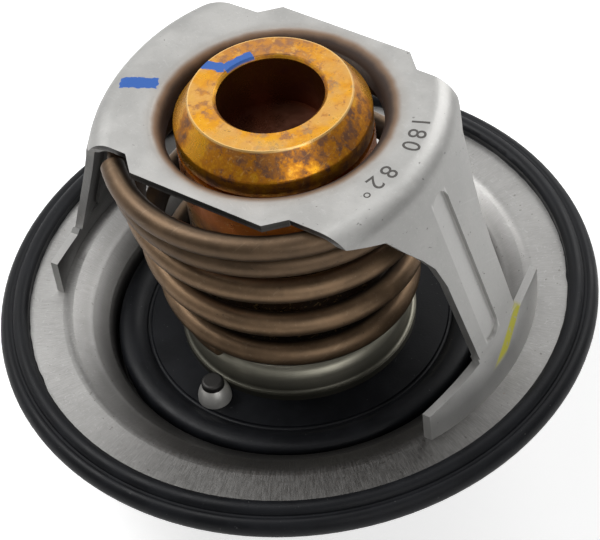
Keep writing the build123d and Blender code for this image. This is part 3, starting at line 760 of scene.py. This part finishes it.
class THERMOSTAT_OT_add_flash(bpy.types.Operator):
    """Adds the thin ragged moulding flash where the gasket's lips end on the steel.

    A flat ring at each lip whose free edge wanders as a sum of sines of the angle.
    """

    bl_idname = "thermostat.add_flash"
    bl_label = "Add gasket flash"

    def execute(self, context):
        sizes = context.scene.thermostat_sizes
        angle = circle(720)
        wander = sum(np.sin(angle * waves + waves * waves) / (1 + waves / 40)
                     for waves in (5, 11, 23, 41, 67, 101))
        wander = (wander - wander.min()) / (wander.max() - wander.min())
        lip = GASKET_LIP_RADIUS * MM
        free_edge = lip - sizes.flash_width * (0.15 + 0.85 * wander ** 2)
        root = lip + 0.15 * MM
        steel = FLANGE_TOP * MM
        foot, edge_top, root_top = steel + 0.005 * MM, steel + 0.03 * MM, steel + 0.12 * MM
        profile = ((root, foot), (free_edge, foot), (free_edge, edge_top), (root, root_top))
        for name, side in (("gasket_flash_top", 1), ("gasket_flash_bottom", -1)):
            points = np.stack([np.stack([radius * np.cos(angle), radius * np.sin(angle),
                                         np.full_like(angle, side * height)], 1)
                               for radius, height in profile])
            new_piece(name, points, grid_faces(len(profile), len(angle), True, True), "moulded_rubber",
                      "housing")
        return {"FINISHED"}


class THERMOSTAT_OT_turn_far_leg(bpy.types.Operator):
    """Stands in for the frame with its far leg turned a little about the valve's axis, as pressed.

    The turn and the outward shift grow along -X as a smooth step from nothing beside the collar to the
    full amount at the end of the bend.
    """

    bl_idname = "thermostat.turn_far_leg"
    bl_label = "Turn far leg"

    def execute(self, context):
        sizes = context.scene.thermostat_sizes
        step_start, step_length = 12 * MM, 6 * MM
        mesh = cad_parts["frame"].data
        flat = np.empty(3 * len(mesh.vertices))
        mesh.vertices.foreach_get("co", flat)
        x, y, z = flat.reshape(-1, 3).T
        share = np.clip((-x - step_start) / step_length, 0, 1)
        share = share * share * (3 - 2 * share)
        turn = sizes.far_leg_turn * share
        points = np.stack([x * np.cos(turn) - y * np.sin(turn) - sizes.far_leg_reach * share,
                           x * np.sin(turn) + y * np.cos(turn), z], 1)
        piece = new_piece("pressed_frame", points, [face.vertices for face in mesh.polygons], "frame_steel",
                          "housing", 30)
        evened = piece.modifiers.new("even_normals", "WEIGHTED_NORMAL")
        evened.keep_sharp = True
        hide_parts("frame")
        return {"FINISHED"}


def digit_mesh(character, size):
    """A thin solid of one character on the origin, with its strokes widened a little."""
    text = bpy.data.curves.new("digit", "FONT")
    text.body, text.size = character, size
    text.offset, text.extrude = 0.005 * MM, 0.004 * MM
    text.align_x, text.align_y = "CENTER", "CENTER"
    holder = bpy.data.objects.new("digit", text)
    solid = bpy.data.meshes.new_from_object(holder)
    bpy.data.objects.remove(holder)
    bpy.data.curves.remove(text)
    return solid


class THERMOSTAT_OT_stamp_numbers(bpy.types.Operator):
    """Puts two plain opening temperatures on the plate, upright as seen from the rim and read clockwise.

    Each row gives its characters, the radius that they stand on in millimetres and each one's angle.
    """

    bl_idname = "thermostat.stamp_numbers"
    bl_label = "Stamp numbers"

    def execute(self, context):
        rows = (("180", 15.4, (21.4, 15.0, 8.2)), ("82\u00b0", 15.3, (-7.4, -14.8, -21.0)))
        clearance = 0.002
        points, faces = [], []
        for characters, radius, angles in rows:
            for character, degrees in zip(characters, angles):
                solid = digit_mesh(character, context.scene.thermostat_sizes.digit_size)
                out = Vector((radius, 0, PLATE_TOP + clearance)) * MM
                turn = Matrix.Rotation(math.radians(degrees), 4, "Z")
                place = turn @ Matrix.Translation(out) @ Matrix.Rotation(-math.pi / 2, 4, "Z")
                faces += [[index + len(points) for index in face.vertices] for face in solid.polygons]
                points += [place @ vertex.co for vertex in solid.vertices]
                bpy.data.meshes.remove(solid)
        new_piece("stamped_numbers", np.array(points), faces, "stamp_shadow", "housing")
        return {"FINISHED"}


class THERMOSTAT_OT_dress_nodes(bpy.types.Operator):
    """Gives each solid its finish."""

    bl_idname = "thermostat.dress_nodes"
    bl_label = "Dress solids"

    def execute(self, context):
        colours = context.scene.thermostat_colours
        group_turned_place()
        group_shop_marks()
        group_paint_dab()
        steel = finish_frame_steel(colours)
        flange = finish_flange_steel(colours)
        cup = finish_cup_steel(colours)
        brass = finish_brass(colours)
        rubber = finish_rubber(colours)
        spring = finish_spring(colours)
        zinc = finish_plain_metal("jiggle_zinc", colours.jiggle_zinc, 0.34, 0.6)
        pin = finish_plain_metal("pin_steel", (0.40, 0.40, 0.40), 0.28)
        tip = finish_plain_metal("dark_pin", colours.jiggle_tip, 0.45)
        finish_plain_metal("stamp_shadow", colours.stamp_shadow, 0.50)
        wax = finish_plain_solid("wax", (0.62, 0.42, 0.25))
        plastic = finish_plain_solid("white_plastic", (0.8, 0.8, 0.77))
        wearing = {"flange_plate": flange, "flange_gasket": rubber, "frame": steel, "main_spring": spring,
                   "element_body": brass, "spring_seat": cup, "valve_seal": rubber, "jiggle_weight": zinc,
                   "jiggle_pin": tip, "valve_disc": flange, "guide": brass, "wax_charge": wax,
                   "diaphragm": rubber, "rubber_plug": rubber, "backing_washer": plastic, "piston": pin,
                   "retaining_ring": pin, "bridge": flange}
        for node, finish in wearing.items():
            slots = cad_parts[node].material_slots
            if not slots:
                raise RuntimeError(f"{node} has no material slot")
            for slot in slots:
                slot.material = finish
        return {"FINISHED"}


# ---------------------------------------------------------------- stage

def add_floor():
    """A wide pale square just under the object; camera, gloss and glass rays also see it glow."""
    level = cad_box[0][2] - 0.05 * MM
    edge = 3.0
    mesh = bpy.data.meshes.new("floor")
    mesh.from_pydata([(-edge, -edge, level), (edge, -edge, level), (edge, edge, level), (-edge, edge, level)],
                     [], [(0, 1, 2, 3)])
    material = bpy.data.materials.new("pale_floor")
    material.use_nodes = True
    material.node_tree.nodes.clear()
    n = Nodes(material.node_tree)
    matte = n.new("ShaderNodeBsdfDiffuse", {"Color": (0.82, 0.82, 0.82)})
    to_camera = n.new("ShaderNodeLightPath").outputs["Is Camera Ray"]
    glow = n.new("ShaderNodeEmission", {"Color": (1, 1, 1), "Strength": n.blend(to_camera, 0.42, 0.62)})
    dark = n.new("ShaderNodeEmission", {"Color": (0, 0, 0), "Strength": 0.0})
    extra = n.new("ShaderNodeMixShader", {0: n.seen_ray(), 1: dark.outputs[0], 2: glow.outputs[0]})
    both = n.new("ShaderNodeAddShader", {0: matte.outputs[0], 1: extra.outputs[0]})
    n.new("ShaderNodeOutputMaterial", {"Surface": both.outputs[0]})
    mesh.materials.append(material)
    floor = bpy.data.objects.new("floor", mesh)
    bpy.context.scene.collection.objects.link(floor)


def add_surroundings():
    """Dim soft light all round; camera rays see white, and gloss sees a white back and a dim front."""
    world = bpy.data.worlds.new("studio")
    bpy.context.scene.world = world
    world.use_nodes = True
    world.node_tree.nodes.clear()
    n = Nodes(world.node_tree)
    direction = n.new("ShaderNodeTexCoord").outputs["Generated"]
    towards_back = n.vector_math("DOT_PRODUCT", direction, (-0.46, 0.57, 0.68))["Value"]
    room = n.most(n.band(towards_back, -0.15, 0.85, 0.16, 1.0),
                  n.new("ShaderNodeLightPath").outputs["Is Camera Ray"])
    soft = n.new("ShaderNodeBackground", {"Color": (1, 1, 1), "Strength": 0.13})
    white = n.new("ShaderNodeBackground", {"Color": (1, 1, 1), "Strength": room})
    mixed = n.new("ShaderNodeMixShader", {0: n.seen_ray(), 1: soft.outputs[0], 2: white.outputs[0]})
    n.new("ShaderNodeOutputWorld", {"Surface": mixed.outputs[0]})


def area_lamp(name, place, size, power):
    """A square softbox that looks at the object's middle."""
    middle = Vector((0, 0, 5 * MM))
    lamp = bpy.data.lights.new(name, "AREA")
    lamp.size = size
    lamp.energy = power
    holder = bpy.data.objects.new(name, lamp)
    holder.location = place
    holder.rotation_mode = "QUATERNION"
    holder.rotation_quaternion = (middle - Vector(place)).to_track_quat("-Z", "Y")
    bpy.context.scene.collection.objects.link(holder)


def add_camera():
    """Looks along +Y and down, rolls about its view, stands back from the origin, then turns round Z."""
    elevation, roll, turn = math.radians(47.02), math.radians(-7.69), math.radians(38.5)
    distance, aside, above = 250.21 * MM, 0.320 * MM, 2.329 * MM
    camera = bpy.data.cameras.new("camera")
    camera.sensor_width = 36
    camera.lens = 133.99
    camera.clip_start, camera.clip_end = 0.01, 20
    look = Vector((0, math.cos(elevation), -math.sin(elevation)))
    level = Vector((1, 0, 0))
    steep = level.cross(look)
    right = math.cos(roll) * level + math.sin(roll) * steep
    up = math.cos(roll) * steep - math.sin(roll) * level
    pose = Matrix((right, up, -look)).transposed().to_4x4()
    pose.translation = right * aside + up * above - look * distance
    holder = bpy.data.objects.new("camera", camera)
    holder.matrix_world = Matrix.Rotation(turn, 4, "Z") @ pose
    bpy.context.scene.collection.objects.link(holder)
    bpy.context.scene.camera = holder


class THERMOSTAT_OT_set_stage(bpy.types.Operator):
    """Sets the pale floor, the soft lamps, the white surroundings and the camera."""

    bl_idname = "thermostat.set_stage"
    bl_label = "Set stage"

    def execute(self, context):
        context.scene.view_settings.view_transform = "Standard"
        add_floor()
        add_surroundings()
        area_lamp("key_lamp", (-0.25, -0.05, 0.42), 0.28, 1.5)
        area_lamp("fill_lamp", (0.38, -0.22, 0.25), 0.30, 0.65)
        area_lamp("back_lamp", (0.05, 0.42, 0.28), 0.30, 0.8)
        add_camera()
        return {"FINISHED"}


class THERMOSTAT_PT_looks(bpy.types.Panel):
    """Lists the steps and their settings."""

    bl_idname = "THERMOSTAT_PT_looks"
    bl_label = "Thermostat"
    bl_space_type = "VIEW_3D"
    bl_region_type = "UI"
    bl_category = "Thermostat"

    def draw(self, context):
        for operator in OPERATORS:
            self.layout.operator(operator.bl_idname)
        for group in (context.scene.thermostat_sizes, context.scene.thermostat_colours):
            box = self.layout.box()
            for name in group.__annotations__:
                box.prop(group, name)


OPERATORS = (THERMOSTAT_OT_set_stage, THERMOSTAT_OT_dress_nodes, THERMOSTAT_OT_wind_spring,
             THERMOSTAT_OT_add_flash, THERMOSTAT_OT_turn_far_leg, THERMOSTAT_OT_stamp_numbers)
CLASSES = (ThermostatSizes, ThermostatColours, *OPERATORS, THERMOSTAT_PT_looks)


def register():
    for each in CLASSES:
        bpy.utils.register_class(each)
    bpy.types.Scene.thermostat_sizes = PointerProperty(type=ThermostatSizes)
    bpy.types.Scene.thermostat_colours = PointerProperty(type=ThermostatColours)


def unregister():
    del bpy.types.Scene.thermostat_sizes
    del bpy.types.Scene.thermostat_colours
    for each in reversed(CLASSES):
        bpy.utils.unregister_class(each)


def main():
    register()
    bpy.ops.thermostat.set_stage()
    bpy.ops.thermostat.dress_nodes()
    bpy.ops.thermostat.wind_spring()
    bpy.ops.thermostat.add_flash()
    bpy.ops.thermostat.turn_far_leg()
    bpy.ops.thermostat.stamp_numbers()


if __name__ == "__main__":
    main()
